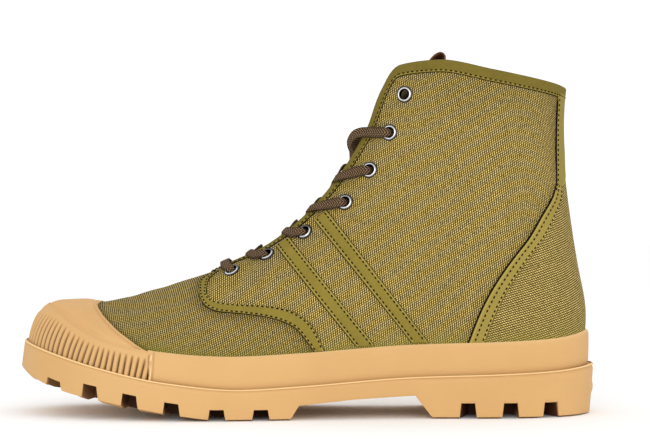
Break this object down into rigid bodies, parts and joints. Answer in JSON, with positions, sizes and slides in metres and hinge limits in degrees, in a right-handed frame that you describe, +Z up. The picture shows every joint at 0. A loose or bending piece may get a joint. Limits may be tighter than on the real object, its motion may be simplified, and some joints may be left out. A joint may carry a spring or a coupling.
{
  "type": "canvas ankle boot",
  "caption": "Left lace-up ankle boot of olive canvas with taped seams, a ribbed rubber toe, a smooth rubber band round the foot and a thick lugged rubber sole.",
  "frame": {"origin": "centre of the bounding box's base, on the plane the tread stands on", "axes": "+Z up, toe towards -X, heel towards +X, lateral (outer) side towards -Y, medial side towards +Y"},
  "size_m": [0.3, 0.1045, 0.1892],
  "materials": {
    "rubber_tan": "matte moulded tan rubber",
    "canvas_olive": "coarse ribbed olive canvas",
    "tape_olive": "smooth cotton tape with dark stitches",
    "lace_brown": "flat woven lace",
    "eyelet_metal": "dark plated metal",
    "insole_cloth": "plain cotton sock",
    "loop_tape": "reddish-brown tape"
  },
  "bodies": {
    "root": {"backstay": "tape_olive", "binding": "tape_olive", "eyelet_lateral_1": "eyelet_metal", "eyelet_lateral_2": "eyelet_metal", "eyelet_lateral_3": "eyelet_metal", "eyelet_lateral_4": "eyelet_metal", "eyelet_lateral_5": "eyelet_metal", "eyelet_lateral_6": "eyelet_metal", "eyelet_lateral_7": "eyelet_metal", "eyelet_medial_1": "eyelet_metal", "eyelet_medial_2": "eyelet_metal", "eyelet_medial_3": "eyelet_metal", "eyelet_medial_4": "eyelet_metal", "eyelet_medial_5": "eyelet_metal", "eyelet_medial_6": "eyelet_metal", "eyelet_medial_7": "eyelet_metal", "foxing": "rubber_tan", "front_strap_lateral": "tape_olive", "front_strap_medial": "tape_olive", "insole": "insole_cloth", "lace_bar": "lace_brown", "lace_cross_1": "lace_brown", "lace_cross_2": "lace_brown", "lace_cross_3": "lace_brown", "lace_cross_4": "lace_brown", "lace_cross_5": "lace_brown", "outsole": "rubber_tan", "quarter_tape_lateral": "tape_olive", "quarter_tape_medial": "tape_olive", "rear_strap_lateral": "tape_olive", "rear_strap_medial": "tape_olive", "toe_bumper": "rubber_tan", "toe_cap": "rubber_tan", "tongue": "canvas_olive", "tongue_loop": "loop_tape", "upper": "canvas_olive"}
  },
  "joints": []
}
